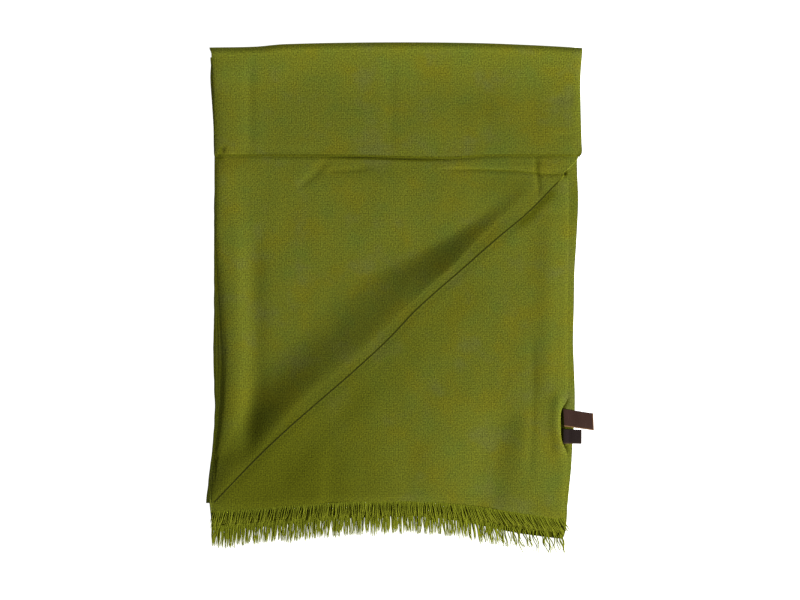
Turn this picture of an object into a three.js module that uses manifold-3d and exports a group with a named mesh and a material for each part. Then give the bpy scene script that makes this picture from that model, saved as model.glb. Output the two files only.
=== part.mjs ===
// A pashmina shawl folded to a flat packet and laid on a table, with one corner of its upper leaf
// turned under along a slant, a doubled lap across the top and two fringed ends at the bottom.
// Millimetres, +Z up. The packet lies on z = 0 with its fringe towards -Y and its top fold towards +Y.
import * as THREE from "three";
import Module from "manifold-3d";

const wasm = await Module();
wasm.setup();

// Cloth and spacing.
const leafWall = 1.2;
const doubledWall = 2.4;
const seamGap = 0.3;

// Heights of the hidden layers: their thickness under the leaves, and where the lap lies on them.
const hiddenLayers = 6;
const hiddenHeight = 7;
const layerGap = 0.5;
const leafPitch = leafWall + layerGap;
const underLeafBase = seamGap;
const frontLeafBase = underLeafBase + leafPitch;
const flapBase = frontLeafBase + leafPitch;
const lapBase = flapBase + doubledWall + layerGap;

// The lap across the top: its lower fold, where the leaves end under it, where it starts to level out
// towards the top fold, and the round top fold that it goes over.
const leafTopY = 228;
const lapLevelY = 190;
const topFoldY = 240;
const topFoldRadius = (hiddenHeight + lapBase + doubledWall) / 2;

// Fringe.
const strandCount = 104;
const frontStrand = 15.6;
const underStrand = 14.2;
const strandWidth = 1.8;
const stripWidth = 1.6;
const stripThickness = 0.9;
const stripLift = 0.15;

// Side outlines of the packet from above, a row for each height: the hidden layers' outermost folds at
// the left, the flap's own left fold, the under leaf's selvedge and the front leaf's selvedge.
const sides = [
  { y: 240, outer: -182, flap: -180, under: 172, front: 160 },
  { y: 216, outer: -180.9, flap: -179, under: 171, front: 160 },
  { y: 181, outer: -178.7, flap: -177, under: 170, front: 160 },
  { y: 129, outer: -177.4, flap: -177, under: 168.2, front: 159.5 },
  { y: 93, outer: -178.2, flap: -176.8, under: 169.3, front: 160 },
  { y: 55, outer: -178.4, flap: -176, under: 167.6, front: 160 },
  { y: 26, outer: -178.4, flap: -174.4, under: 165.8, front: 159.5 },
  { y: -8, outer: -178.5, flap: -172.4, under: 165.2, front: 159 },
  { y: -41, outer: -179, flap: -169.8, under: 164.4, front: 159 },
  { y: -62, outer: -178.9, flap: -169.2, under: 165.1, front: 159 },
  { y: -85, outer: -178, flap: -170.6, under: 166, front: 159.2 },
  { y: -97, outer: -177.6, flap: -171.4, under: 166.2, front: 158.6 },
  { y: -107, outer: -178, flap: -172.2, under: 166, front: 153 },
  { y: -122, outer: -178.9, flap: -173.8, under: 165.2, front: 152.4 },
  { y: -136, outer: -180, flap: -175.4, under: 164, front: 153.4 },
  { y: -148, outer: -181, flap: -176.8, under: 163.6, front: 158.4 },
  { y: -168, outer: -183.2, flap: -178.8, under: 162.4, front: 159 },
  { y: -190, outer: -185.2, flap: -180.6, under: 159.8, front: 157.2 },
  { y: -198, outer: -183.6, flap: -181, under: 159.4, front: 156.8 },
  { y: -225, outer: -181, flap: -181, under: 159, front: 156.4 },
];

// Side outlines of the lap, rounded at its lower right corner, and its lower fold.
const lapSides = [
  { y: 245, left: -182.4, right: 173.4 },
  { y: 239, left: -182.3, right: 173.4 },
  { y: 232, left: -179.8, right: 172.8 },
  { y: 209, left: -180.6, right: 171.2 },
  { y: 182, left: -178.8, right: 171.5 },
  { y: 162, left: -177.6, right: 172.8 },
  { y: 146, left: -177.4, right: 173 },
  { y: 139, left: -177.2, right: 172.2 },
  { y: 131, left: -176.8, right: 169 },
];
const lapFoldLine = [
  { x: -178, y: 135.6 },
  { x: -120, y: 135.2 },
  { x: -70, y: 132.8 },
  { x: -20, y: 130.9 },
  { x: 40, y: 131.1 },
  { x: 100, y: 131.6 },
  { x: 174, y: 133 },
];

// The right edge of the turned corner: upright under the lap, then the slanted fold down to the left.
const slantFold = [
  { y: 240, x: 171 },
  { y: 200, x: 170.2 },
  { y: 165, x: 171 },
  { y: 150, x: 171.4 },
  { y: 133, x: 168.6 },
  { y: 123, x: 159.6 },
  { y: 106, x: 147 },
  { y: 80.7, x: 120.9 },
  { y: 56.5, x: 92.2 },
  { y: 33.8, x: 66.4 },
  { y: -9, x: 17.7 },
  { y: -40, x: -11.9 },
  { y: -72, x: -46.7 },
  { y: -97.5, x: -76.2 },
  { y: -125.7, x: -108.3 },
  { y: -154, x: -137.9 },
  { y: -190, x: -172.7 },
  { y: -197, x: -179.4 },
];

// The roll behind the slanted fold: how high it stands, how wide its crest is, and how far it takes to
// fall back to the flap.
const slantRoll = [
  { y: 150, rise: 0, crest: 10, reach: 20 },
  { y: 110, rise: 0.3, crest: 10, reach: 20 },
  { y: 80, rise: 0.7, crest: 12, reach: 20 },
  { y: 56, rise: 2.4, crest: 12, reach: 22 },
  { y: 34, rise: 5.4, crest: 10, reach: 28 },
  { y: 15, rise: 6.8, crest: 10, reach: 36 },
  { y: -9, rise: 7.2, crest: 9, reach: 44 },
  { y: -40, rise: 7.2, crest: 8, reach: 56 },
  { y: -64, rise: 7.6, crest: 8, reach: 60 },
  { y: -85, rise: 8.8, crest: 8, reach: 58 },
  { y: -98, rise: 9.4, crest: 7, reach: 52 },
  { y: -112, rise: 9.2, crest: 6, reach: 46 },
  { y: -126, rise: 8, crest: 5, reach: 38 },
  { y: -140, rise: 6.2, crest: 3, reach: 32 },
  { y: -154, rise: 3.8, crest: 2, reach: 22 },
  { y: -172, rise: 1.2, crest: 2, reach: 14 },
  { y: -197, rise: 0.3, crest: 2, reach: 8 },
];

// Top fold, front hem, how far the under leaf shows past that hem, and thickness of the hidden layers.
const topFoldLine = [
  { x: -183, y: 239.4 },
  { x: -139, y: 240.2 },
  { x: -111, y: 242.6 },
  { x: -24, y: 244.3 },
  { x: 67, y: 243.8 },
  { x: 127, y: 241.6 },
  { x: 174, y: 239 },
];
const frontHemLine = [
  { x: -186, y: -205.6 },
  { x: -150, y: -203.4 },
  { x: -90, y: -199 },
  { x: -44, y: -196.3 },
  { x: 18, y: -196.2 },
  { x: 70, y: -200 },
  { x: 120, y: -206.4 },
  { x: 174, y: -212 },
];
const hemOverlap = [
  { x: -186, drop: 18 },
  { x: -100, drop: 16.5 },
  { x: -5, drop: 13.5 },
  { x: 42, drop: 14 },
  { x: 90, drop: 17.5 },
  { x: 130, drop: 20 },
  { x: 174, drop: 21 },
];
const hiddenThickness = [
  { y: -200, height: 2 },
  { y: -165, height: 4.2 },
  { y: -120, height: 6.4 },
  { y: -80, height: hiddenHeight },
  { y: 250, height: hiddenHeight },
];

// Broad soft creases shared by all layers: a straight trough or ridge, with its half width and depth.
const creases = [
  { x0: -142, y0: 50, x1: -144, y1: -150, width: 13, depth: 0.8 },
  { x0: 142, y0: 75, x1: 140, y1: -95, width: 11, depth: -0.7 },
  { x0: 118, y0: -112, x1: 99, y1: -200, width: 13, depth: 0.8 },
  { x0: -168, y0: -175, x1: -80, y1: -192, width: 22, depth: 0.8 },
  { x0: 70, y0: 160, x1: 138, y1: 172, width: 16, depth: 0.6 },
];

// Where the leaves go down past the end of the hidden layers.
const hiddenEndSetback = 9;
const slopeLength = 14;

// Which way the fringe leans along the hem, as a shift of its tips.
const fringeLean = [
  { x: -186, lean: -2 },
  { x: -120, lean: -1.8 },
  { x: -20, lean: 0.5 },
  { x: 60, lean: 2 },
  { x: 110, lean: 3 },
  { x: 174, lean: 1 },
];

// Labels: corners from the seam outwards, as woven strips that run out past the selvedge.
const labelWall = 1;
const labels = [
  { name: "woven_label", x: 155.9, y: -114, length: 29, height: 16.8, turn: -0.15, colour: 0x46322d },
  { name: "care_label", x: 155.8, y: -132.2, length: 17.5, height: 13.4, turn: -0.03, colour: 0x2e1f1d },
];

const colours = { cloth: 0x686e20, lap: 0x6a7022, fringe: 0x6b7024, hidden: 0x5a5f1c };

// Value of a column at a place in a table, on a smooth curve through its rows.
function along(table, place, column, at) {
  const rising = table[table.length - 1][place] > table[0][place];
  const rows = rising ? table : [...table].reverse();
  if (at <= rows[0][place]) return rows[0][column];
  if (at >= rows[rows.length - 1][place]) return rows[rows.length - 1][column];
  const i = rows.findIndex((row, k) => k > 0 && row[place] >= at);
  const [a, b] = [rows[i - 1], rows[i]];
  const before = rows[Math.max(i - 2, 0)];
  const after = rows[Math.min(i + 1, rows.length - 1)];
  const step = b[place] - a[place];
  const slopeAt = (p, q) => (q[column] - p[column]) / (q[place] - p[place] || 1);
  const m0 = slopeAt(before, b) * step;
  const m1 = slopeAt(a, after) * step;
  const t = (at - a[place]) / step;
  const t2 = t * t;
  const t3 = t2 * t;
  return (
    (2 * t3 - 3 * t2 + 1) * a[column] +
    (t3 - 2 * t2 + t) * m0 +
    (3 * t2 - 2 * t3) * b[column] +
    (t3 - t2) * m1
  );
}

const smooth = (t) => {
  const c = Math.min(Math.max(t, 0), 1);
  return c * c * (3 - 2 * c);
};
const mix = (a, b, t) => a + (b - a) * t;
const side = (column, y) => along(sides, "y", column, y);

// A repeatable value from -1 to 1 for a whole number, for uneven edges and strands.
function uneven(n, salt) {
  const s = Math.sin(n * 127.1 + salt * 311.7) * 43758.5453;
  return 2 * (s - Math.floor(s)) - 1;
}

// Depth of a crease at a place: it fades with the distance from the crease's line.
function creaseDepth(crease, x, y) {
  const dx = crease.x1 - crease.x0;
  const dy = crease.y1 - crease.y0;
  const t = ((x - crease.x0) * dx + (y - crease.y0) * dy) / (dx * dx + dy * dy);
  const c = Math.min(Math.max(t, 0), 1);
  const off = Math.hypot(x - crease.x0 - c * dx, y - crease.y0 - c * dy);
  return crease.depth * Math.exp(-((off / crease.width) ** 2));
}

// Top of the hidden layers: their thickness, rounded shoulders at both sides, and the shared creases.
const shoulderDepth = 1.3;
const shoulderReach = 9;
function hiddenTop(x, y) {
  const fromSide = Math.min(x - side("outer", y), side("under", y) - x);
  const shoulder = shoulderDepth * Math.exp(-Math.max(fromSide, 0) / shoulderReach);
  const thickness = along(hiddenThickness, "y", "height", y);
  const creased = creases.reduce((sum, crease) => sum + creaseDepth(crease, x, y), 0);
  return thickness - (shoulder + creased) * Math.min(thickness / hiddenHeight, 1);
}

// What the under leaf lies on: the hidden layers, then the table past their end.
function bedHeight(x, y) {
  const hem = along(frontHemLine, "x", "y", x);
  const past = (hem + hiddenEndSetback - 1 - y) / slopeLength;
  return (hiddenTop(x, y) + underLeafBase) * (1 - smooth(past));
}

// Triangles that close a ring's end: its points are paired from the first one round both ways.
function zipEnd(count) {
  const faces = [];
  for (let i = 0; i < count - i - 1; i++) {
    const [a, b] = [i, (count - i) % count];
    if (i > 0) faces.push([a, a + 1, b]);
    if (a + 1 < b - 1 || i === 0) faces.push([a + 1, (b + count - 1) % count, b]);
  }
  return faces;
}

// A closed solid through rings with equal counts of points. Both ends are closed by the same triangles.
function loft(rings, endFaces = zipEnd(rings[0].length)) {
  const count = rings[0].length;
  const positions = rings.flat().flatMap((p) => [p.x, p.y, p.z]);
  const faces = [];
  for (let r = 0; r + 1 < rings.length; r++) {
    for (let i = 0; i < count; i++) {
      const [a, b] = [r * count + i, r * count + ((i + 1) % count)];
      faces.push([a, b, b + count], [a, b + count, a + count]);
    }
  }
  const lastRing = (rings.length - 1) * count;
  for (const [a, b, c] of endFaces) {
    faces.push([a, c, b], [lastRing + a, lastRing + b, lastRing + c]);
  }
  const corner = (k) => new THREE.Vector3().fromArray(positions, k * 3);
  const volume = faces.reduce(
    (sum, [a, b, c]) => sum + corner(a).dot(corner(b).cross(corner(c))),
    0,
  );
  const outward = volume < 0 ? faces.map((face) => [...face].reverse()) : faces;
  const geometry = new THREE.BufferGeometry();
  geometry.setAttribute("position", new THREE.Float32BufferAttribute(positions, 3));
  geometry.setIndex(outward.flat());
  return geometry;
}

// Round nose of a fold between an upper and a lower point, bulging towards the given side.
function foldNose(upper, lower, bulge) {
  const half = (upper.z - lower.z) / 2;
  return [0.25, 0.5, 0.75].map((t) => {
    const angle = Math.PI * t;
    return new THREE.Vector3(
      mix(upper.x, lower.x, t) + bulge * half * Math.sin(angle),
      mix(upper.y, lower.y, t),
      (upper.z + lower.z) / 2 + half * Math.cos(angle),
    );
  });
}

// One section of a leaf, from the middle of its left fold over its upper points to the right edge and
// back along its lower points. A folded edge has a round nose, and a selvedge is square.
function leafSection(upper, lower, rightFold) {
  const last = upper.length - 1;
  const [high, middle, low] = foldNose(upper[0], lower[0], -1);
  const rightNose = rightFold ? foldNose(upper[last], lower[last], 1) : [];
  return [middle, high, ...upper, ...rightNose, ...[...lower].reverse(), low];
}

// Columns and rows crowd towards both ends, where the edges are.
const crowded = (n) => Array.from({ length: n + 1 }, (_, i) => (1 - Math.cos((Math.PI * i) / n)) / 2);
const even = (n) => Array.from({ length: n + 1 }, (_, i) => i / n);

// Where a leaf's column crosses one of its rows, between its sides and from its hem to under the lap.
function leafPoint({ left, right, hem }, u, v) {
  let x = mix(left(0), right(0), u);
  let y = 0;
  for (let pass = 0; pass < 4; pass++) {
    y = mix(hem(x), leafTopY, v);
    x = mix(left(y), right(y), u);
  }
  return { x, y };
}

// A leaf that lies on the bed: its rows run from its hem to under the lap, a little closer at the hem.
function makeLeaf({ columns, rows, left, right, hem, base }) {
  const rowCrowding = 1.15;
  const rings = even(rows).map((v) => {
    const upper = [];
    const lower = [];
    for (const u of crowded(columns)) {
      const { x, y } = leafPoint({ left, right, hem }, u, v ** rowCrowding);
      const z = bedHeight(x, y) + base - underLeafBase;
      upper.push(new THREE.Vector3(x, y, z + leafWall));
      lower.push(new THREE.Vector3(x, y, z));
    }
    return leafSection(upper, lower, false);
  });
  return loft(rings);
}

// The left folds of the leaves step in between the hidden layers and the flap.
const leafLeft = (share) => (y) => mix(side("outer", y), side("flap", y), share) + leafWall / 2;
const frontHem = (x) => along(frontHemLine, "x", "y", x);
const underHem = (x) => frontHem(x) - along(hemOverlap, "x", "drop", x);

const underLeaf = {
  columns: 16,
  rows: 24,
  left: leafLeft(0.35),
  right: (y) => side("under", y),
  hem: underHem,
  base: underLeafBase,
};
const frontLeaf = {
  columns: 20,
  rows: 30,
  left: leafLeft(0.7),
  right: (y) => side("front", y),
  hem: frontHem,
  base: frontLeafBase,
};

// How far the slanted roll lifts the flap at a distance behind the fold. The fold's own edge is lifted
// almost as far as the crest, and behind the crest the roll falls sooner than it levels out.
function rollRise(behind, y) {
  const edgeShare = 0.92;
  const fallSkew = 0.9;
  const rise = along(slantRoll, "y", "rise", y);
  const crest = along(slantRoll, "y", "crest", y);
  const fall = Math.max(behind - crest, 0) / along(slantRoll, "y", "reach", y);
  return rise * mix(edgeShare, 1, smooth(behind / crest)) * (1 - smooth(fall ** fallSkew));
}

// The turned corner: a doubled leaf from the lap to the slanted fold, which rolls under. Its columns
// crowd towards that fold, and the lower face of the roll rises less than the upper one.
function makeTurnedCorner() {
  const columns = 22;
  const rows = 36;
  const columnCrowding = 1.7;
  const lowerRise = 0.6;
  const slantNormal = 0.7;
  const bottomY = -195.5;
  const rings = even(rows).map((v) => {
    const y = mix(bottomY, leafTopY, v);
    const left = side("flap", y) + doubledWall / 2;
    const right = along(slantFold, "y", "x", y) - doubledWall / 2;
    const upper = [];
    const lower = [];
    for (const t of even(columns)) {
      const x = mix(left, right, 1 - (1 - t) ** columnCrowding);
      const lift = rollRise((right - x) * slantNormal, y);
      const z = bedHeight(x, y) + flapBase - underLeafBase;
      upper.push(new THREE.Vector3(x, y, z + doubledWall + lift));
      lower.push(new THREE.Vector3(x, y, z + Math.max(lift - lowerRise, 0)));
    }
    return leafSection(upper, lower, true);
  });
  return loft(rings);
}

// The lap: a doubled leaf from its soft lower fold, over the round top fold, to the table.
function makeTopLap() {
  const columns = 20;
  const flatRows = 8;
  const wrapRows = 8;
  const squareOff = 0.6;
  const rings = crowded(columns).map((u) => {
    const xAt = (y) => mix(along(lapSides, "y", "left", y), along(lapSides, "y", "right", y), u);
    const topY = along(topFoldLine, "x", "y", xAt(topFoldY));
    const centreY = topY - topFoldRadius;
    const foldY = along(lapFoldLine, "x", "y", xAt(topFoldY));
    const fromEnd = Math.min(u, 1 - u);
    const wall = fromEnd === 0 ? doubledWall * squareOff : doubledWall;
    const sink = fromEnd === 0 ? (doubledWall - wall) / 2 : 0;
    const outer = [];
    const inner = [];
    for (const v of even(flatRows)) {
      const y = mix(foldY + doubledWall / 2, centreY, v);
      const x = xAt(y);
      const flat = hiddenTop(x, y) + lapBase;
      const levelOut = smooth((y - lapLevelY) / (centreY - lapLevelY));
      const level = mix(flat, 2 * topFoldRadius - doubledWall, levelOut);
      outer.push(new THREE.Vector3(x, y, level + doubledWall - sink));
      inner.push(new THREE.Vector3(x, y, level + sink));
    }
    for (const v of even(wrapRows).slice(1)) {
      const angle = Math.PI * v;
      const put = (radius) =>
        new THREE.Vector3(
          xAt(centreY + radius * Math.sin(angle)),
          centreY + radius * Math.sin(angle),
          topFoldRadius + radius * Math.cos(angle),
        );
      outer.push(put(topFoldRadius - sink));
      inner.push(put(topFoldRadius - sink - wall));
    }
    const nose = [0.75, 0.5, 0.25].map((t) => {
      const half = (outer[0].z - inner[0].z) / 2;
      const angle = Math.PI * t;
      return new THREE.Vector3(
        outer[0].x,
        outer[0].y - half * Math.sin(angle),
        (outer[0].z + inner[0].z) / 2 + half * Math.cos(angle),
      );
    });
    const [low, middle, high] = nose;
    return [middle, high, ...outer, ...inner.reverse(), low];
  });
  return loft(rings);
}

// The hidden layers as one solid: flat below, and a round edge for each layer at both sides.
function makeHiddenLayers() {
  const rows = 22;
  const columns = 8;
  const edgeSteps = 3;
  const clearance = 0.5;
  const stepIn = 0.9;
  const stagger = 0.8;
  const wave = { size: 0.7, length: 37, shift: 1.9 };
  const noseRows = 4;
  const noseShare = 0.92;
  const noseStart = 0.05;
  const noseLow = doubledWall + layerGap + 0.2;
  const noseHigh = hiddenHeight - clearance;
  const noseMiddle = (noseHigh + noseLow) / 2;
  const noseRadius = (noseHigh - noseLow) / 2;
  const layerEdge = (column, sign, layer, y) => {
    const share = layer / (hiddenLayers - 1);
    const wander = uneven(layer, 7) * stagger + Math.sin(y / wave.length + layer * wave.shift) * wave.size;
    const tuck = column === "outer" ? share * (side("flap", y) - side("outer", y)) * 0.3 : share * 1.2;
    return side(column, y) + sign * (tuck + Math.abs(wander) + 0.3);
  };
  // Edge points from the lowest layer up: each layer pinches in where it meets the next.
  const edge = (column, sign, nearX, yAt, low, high) => {
    const points = [];
    for (let k = 0; k <= hiddenLayers * edgeSteps; k++) {
      const layer = Math.min(Math.floor(k / edgeSteps), hiddenLayers - 1);
      const pinch = k % edgeSteps === 0 ? stepIn : 0;
      const x = layerEdge(column, sign, layer, yAt(nearX)) + sign * pinch;
      const y = yAt(x);
      points.push(new THREE.Vector3(x, y, mix(low(x, y), high(x, y), k / (hiddenLayers * edgeSteps))));
    }
    return points;
  };
  const section = (yAt, low, high) => {
    const left = edge("outer", 1, sides[0].outer, yAt, low, high);
    const right = edge("under", -1, sides[0].under, yAt, low, high);
    const inner = even(columns).slice(1, -1);
    const across = (height, from, to) =>
      inner.map((u) => {
        const x = mix(from.x, to.x, u);
        return new THREE.Vector3(x, yAt(x), height(x, yAt(x)));
      });
    const top = across(high, left[left.length - 1], right[right.length - 1]);
    const bottom = across(low, left[0], right[0]);
    return [...left, ...top, ...right.reverse(), ...bottom.reverse()];
  };
  // Each end is closed by a fan at both edges and by upright strips between them.
  const edgeCount = hiddenLayers * edgeSteps + 1;
  const innerCount = columns - 1;
  const ringCount = 2 * (edgeCount + innerCount);
  const firstTop = edgeCount;
  const firstRight = edgeCount + innerCount;
  const lowerOf = (j) => ringCount - 1 - j;
  const endFaces = [];
  for (let i = 0; i + 1 < edgeCount; i++) {
    endFaces.push([lowerOf(0), i, i + 1]);
    endFaces.push([lowerOf(innerCount - 1), firstRight + i, firstRight + i + 1]);
  }
  endFaces.push([lowerOf(0), edgeCount - 1, firstTop]);
  endFaces.push([lowerOf(innerCount - 1), firstRight - 1, firstRight]);
  for (let j = 0; j + 1 < innerCount; j++) {
    endFaces.push([firstTop + j, firstTop + j + 1, lowerOf(j)]);
    endFaces.push([firstTop + j + 1, lowerOf(j + 1), lowerOf(j)]);
  }
  const endY = (x) => frontHem(x) + hiddenEndSetback;
  const noseY = (x) => along(topFoldLine, "x", "y", x) - topFoldRadius - layerGap;
  const high = (x, y) => hiddenTop(x, y) - clearance;
  const rings = even(rows).map((v) => section((x) => mix(endY(x), noseY(x), v), () => 0, high));
  for (const share of even(noseRows)) {
    const angle = (Math.PI / 2) * share * noseShare;
    const yAt = (x) => noseY(x) + noseStart + noseRadius * Math.sin(angle);
    const half = noseRadius * Math.cos(angle);
    rings.push(section(yAt, () => noseMiddle - half, () => noseMiddle + half - shoulderDepth * (1 - share)));
  }
  return loft(rings, endFaces);
}

// A label strip: it lies on the under leaf, then runs out past the selvedge and sinks a little.
function makeLabel({ x, y, length, height, turn }) {
  const steps = 6;
  const sag = 2.6;
  const sagStart = 0.3;
  const sagLength = 0.9;
  const lastOnLeafX = 162;
  const rings = even(steps).map((v) => {
    const reach = v * length;
    const corner = (offset, lift) => {
      const px = x + reach * Math.cos(turn) - offset * Math.sin(turn);
      const py = y + reach * Math.sin(turn) + offset * Math.cos(turn);
      const bed = bedHeight(Math.min(px, lastOnLeafX), py) + leafPitch;
      return new THREE.Vector3(px, py, bed + lift - sag * smooth((v - sagStart) / sagLength));
    };
    const half = height / 2;
    return [
      corner(-half, labelWall),
      corner(half, labelWall),
      corner(half, 0),
      corner(-half, 0),
    ];
  });
  return loft(rings);
}

function toSolid(geometry) {
  return new wasm.Manifold(
    new wasm.Mesh({
      numProp: 3,
      vertProperties: new Float32Array(geometry.attributes.position.array),
      triVerts: new Uint32Array(geometry.index.array),
    }),
  );
}

function toGeometry(solid) {
  const mesh = solid.getMesh();
  const geometry = new THREE.BufferGeometry();
  geometry.setAttribute("position", new THREE.Float32BufferAttribute(mesh.vertProperties, 3));
  geometry.setIndex(Array.from(mesh.triVerts));
  return geometry;
}

// One strand: a three-sided spike rooted inside the strip.
function makeStrand(root, tip) {
  const rootInside = 0.04;
  const tipShare = 0.35;
  const below = 0.2;
  const above = 0.27;
  const section = (t, width) => {
    const p = root.clone().lerp(tip, t);
    return [
      new THREE.Vector3(p.x - width / 2, p.y, p.z - width * below),
      new THREE.Vector3(p.x + width / 2, p.y, p.z - width * below),
      new THREE.Vector3(p.x, p.y, p.z + width * above),
    ];
  };
  return loft([section(-rootInside, strandWidth), section(1, strandWidth * tipShare)]);
}

// A fringe along a leaf's hem: a narrow strip made from the hem's points, its strands fused into it.
function makeFringe({ leaf, strandLength, stripZ, tipZ, salt }) {
  const hemPoints = crowded(leaf.columns).map((u) => leafPoint(leaf, u, 0));
  const stripRings = hemPoints.map(({ x, y }) => {
    const front = y - seamGap;
    const z = stripZ(x, front);
    return [
      new THREE.Vector3(x, front, z),
      new THREE.Vector3(x, front, z + stripThickness),
      new THREE.Vector3(x, front - stripWidth, z + stripThickness),
      new THREE.Vector3(x, front - stripWidth, z),
    ];
  });
  const rootSink = 0.3;
  const leanSpread = 0.7;
  const lengthSpread = 0.1;
  const solids = [toSolid(loft(stripRings))];
  const left = hemPoints[0].x;
  const right = hemPoints[hemPoints.length - 1].x;
  const pitch = (right - left) / strandCount;
  for (let n = 0; n < strandCount; n++) {
    const x = left + pitch * (n + 0.5);
    const y = leaf.hem(x) - seamGap - stripWidth + rootSink;
    const lean = along(fringeLean, "x", "lean", x) + uneven(n, salt) * leanSpread;
    const length = strandLength * (1 + lengthSpread * uneven(n, salt + 2)) - stripWidth;
    const root = new THREE.Vector3(x, y, stripZ(x, y) + stripThickness / 2);
    const tip = new THREE.Vector3(x + lean, y - length, tipZ);
    solids.push(toSolid(makeStrand(root, tip)));
  }
  return toGeometry(wasm.Manifold.union(solids));
}

function makeFrontFringe() {
  const stripZ = (x, y) => bedHeight(x, y) + leafPitch + stripLift;
  return makeFringe({ leaf: frontLeaf, strandLength: frontStrand, stripZ, tipZ: 2.3, salt: 1 });
}

function makeUnderFringe() {
  const stripZ = () => stripLift;
  return makeFringe({ leaf: underLeaf, strandLength: underStrand, stripZ, tipZ: 0.75, salt: 9 });
}

const group = new THREE.Group();
group.name = "pashmina_shawl";

function addPiece(name, geometry, colour, roughness) {
  const material = new THREE.MeshStandardMaterial({ color: colour, roughness, metalness: 0 });
  const mesh = new THREE.Mesh(geometry, material);
  mesh.name = name;
  group.add(mesh);
}

addPiece("folded_layers", makeHiddenLayers(), colours.hidden, 0.95);
addPiece("under_leaf", makeLeaf(underLeaf), colours.cloth, 0.92);
addPiece("front_leaf", makeLeaf(frontLeaf), colours.cloth, 0.92);
addPiece("turned_corner", makeTurnedCorner(), colours.cloth, 0.92);
addPiece("top_lap", makeTopLap(), colours.lap, 0.92);
addPiece("front_fringe", makeFrontFringe(), colours.fringe, 0.95);
addPiece("under_fringe", makeUnderFringe(), colours.fringe, 0.95);
for (const label of labels) {
  addPiece(label.name, makeLabel(label), label.colour, 0.8);
}

// The origin is on the table, under the middle of the whole piece.
const box = new THREE.Box3().setFromObject(group);
const middle = box.getCenter(new THREE.Vector3());
group.children.forEach((mesh) => mesh.geometry.translate(-middle.x, -middle.y, -box.min.z));

export default group;
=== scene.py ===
import math
import random

import bmesh
import bpy
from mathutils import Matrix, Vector, noise


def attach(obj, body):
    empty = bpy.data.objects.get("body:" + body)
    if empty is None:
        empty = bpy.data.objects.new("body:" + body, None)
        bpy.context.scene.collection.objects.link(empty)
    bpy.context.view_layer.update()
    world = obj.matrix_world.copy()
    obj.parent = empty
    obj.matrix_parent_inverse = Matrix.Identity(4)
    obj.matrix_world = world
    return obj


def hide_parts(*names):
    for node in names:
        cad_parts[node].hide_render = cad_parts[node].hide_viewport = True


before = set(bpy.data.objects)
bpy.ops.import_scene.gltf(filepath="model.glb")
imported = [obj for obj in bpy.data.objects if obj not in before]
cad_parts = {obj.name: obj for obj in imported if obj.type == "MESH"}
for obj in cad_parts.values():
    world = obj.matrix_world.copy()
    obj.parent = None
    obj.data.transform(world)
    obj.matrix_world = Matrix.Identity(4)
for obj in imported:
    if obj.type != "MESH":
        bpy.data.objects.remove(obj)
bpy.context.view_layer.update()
mm = 0.001
print("frame loaded")

# Shared sizes, in millimetres. The tables place things from the photograph's middle, tableMiddle takes them to the part's origin.
cloth = {
    "tableMiddle": (1.1, -0.03),
    "weaveThickness": 0.7,
    "layerGap": 0.5,
    "hiddenHeight": 7.0,
    "underRise": 0.6,
    "frontRise": 2.3,
    "flapRise": 5.4,
    "flapNose": 0.8,
    "lapRise": 8.3,
    "lapNose": 0.5,
    "leafTop": 228.0,
    "topFoldRadius": 8.0,
    # painted light: how much paler the shaded folds at the left edge are painted
    "paintedFoldLight": 0.7,
}

sides = [
    {"y": 240, "outer": -182, "flap": -180, "under": 172, "front": 160},
    {"y": 216, "outer": -180.9, "flap": -179, "under": 171, "front": 160},
    {"y": 181, "outer": -178.7, "flap": -177, "under": 170, "front": 160},
    {"y": 129, "outer": -177.4, "flap": -177, "under": 168.2, "front": 159.5},
    {"y": 93, "outer": -178.2, "flap": -176.8, "under": 169.3, "front": 160},
    {"y": 55, "outer": -178.4, "flap": -176, "under": 167.6, "front": 160},
    {"y": 26, "outer": -178.4, "flap": -174.4, "under": 165.8, "front": 159.5},
    {"y": -8, "outer": -178.5, "flap": -172.4, "under": 165.2, "front": 159},
    {"y": -41, "outer": -179, "flap": -169.8, "under": 164.4, "front": 159},
    {"y": -62, "outer": -178.9, "flap": -169.2, "under": 165.1, "front": 159},
    {"y": -85, "outer": -178, "flap": -170.6, "under": 166, "front": 159.2},
    {"y": -97, "outer": -177.6, "flap": -171.4, "under": 166.2, "front": 158.6},
    {"y": -107, "outer": -178, "flap": -172.2, "under": 166, "front": 153},
    {"y": -122, "outer": -178.9, "flap": -173.8, "under": 165.2, "front": 152.4},
    {"y": -136, "outer": -180, "flap": -175.4, "under": 164, "front": 153.4},
    {"y": -148, "outer": -181, "flap": -176.8, "under": 163.6, "front": 158.4},
    {"y": -168, "outer": -183.2, "flap": -178.8, "under": 162.4, "front": 159},
    {"y": -190, "outer": -185.2, "flap": -180.6, "under": 159.8, "front": 157.2},
    {"y": -198, "outer": -183.6, "flap": -181, "under": 159.4, "front": 156.8},
    {"y": -222, "outer": -181, "flap": -181, "under": 158, "front": 156.4},
    {"y": -234, "outer": -181, "flap": -181, "under": 154, "front": 156.4},
]
lapSides = [
    {"y": 245, "left": -182.4, "right": 173.4},
    {"y": 239, "left": -182.3, "right": 173.4},
    {"y": 232, "left": -179.8, "right": 172.8},
    {"y": 209, "left": -180.6, "right": 171.2},
    {"y": 182, "left": -178.8, "right": 171.5},
    {"y": 162, "left": -177.6, "right": 172.0},
    {"y": 146, "left": -177.4, "right": 172.5},
    {"y": 141, "left": -177.2, "right": 172.8},
    {"y": 137, "left": -177.2, "right": 172.2},
    {"y": 134, "left": -177.1, "right": 169.6},
    {"y": 131, "left": -177.0, "right": 167},
]
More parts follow.
